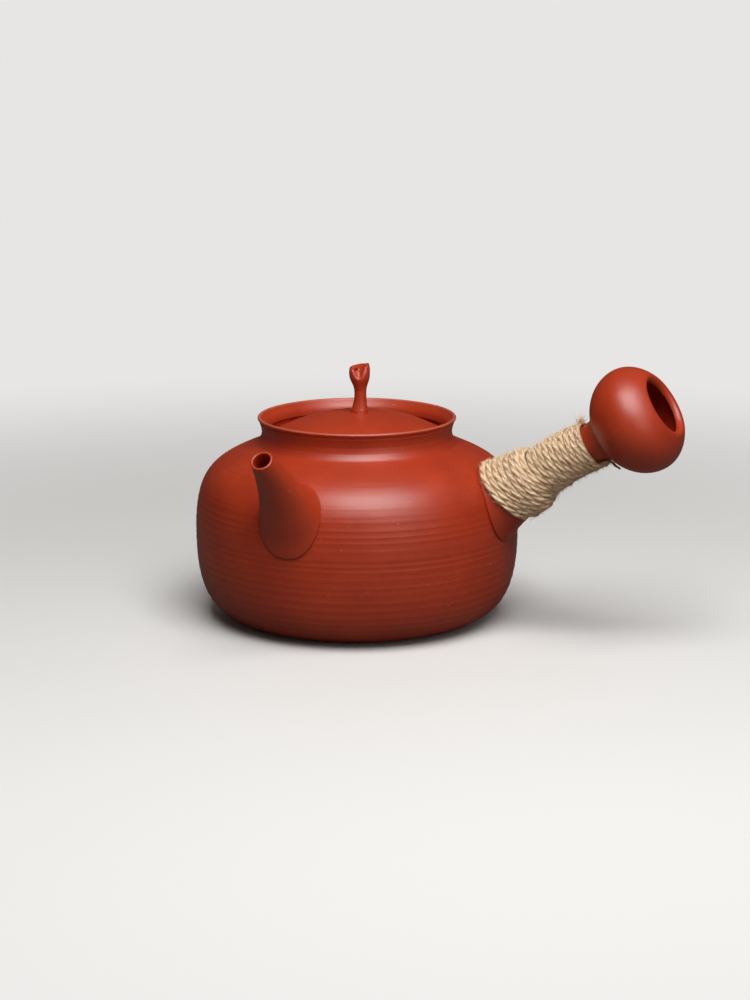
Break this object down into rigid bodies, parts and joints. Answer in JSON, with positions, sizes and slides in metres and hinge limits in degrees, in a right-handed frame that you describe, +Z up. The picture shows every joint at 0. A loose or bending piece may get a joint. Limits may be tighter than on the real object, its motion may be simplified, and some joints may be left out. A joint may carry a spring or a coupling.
{
  "type": "side-handle teapot",
  "caption": "Round clay teapot with a short spout, a hollow side handle bound with twine and ending in an open bulb, and a loose lid sunk in its collar.",
  "frame": {"origin": "centre of the pot's flat base, on the pot's axis", "axes": "+Z up along the pot's axis, +X along the handle as seen from above, -Y along the spout"},
  "size_m": [0.2031, 0.1559, 0.1106],
  "materials": {
    "red_clay": "satin unglazed red clay with fine throwing rings",
    "twine": "matt straw-coloured hemp twine"
  },
  "bodies": {
    "pot": {"pot_body": "red_clay", "spout": "red_clay", "handle": "red_clay", "twine_wrap": "twine"},
    "lid_assembly": {"lid": "red_clay", "lid_ring": "red_clay", "lid_knob": "red_clay"}
  },
  "joints": [
    {"name": "lid_lift", "type": "slide", "parent": "pot", "child": "lid_assembly", "axis": [0, 0, 1], "range_m": [0, 0.06]}
  ]
}
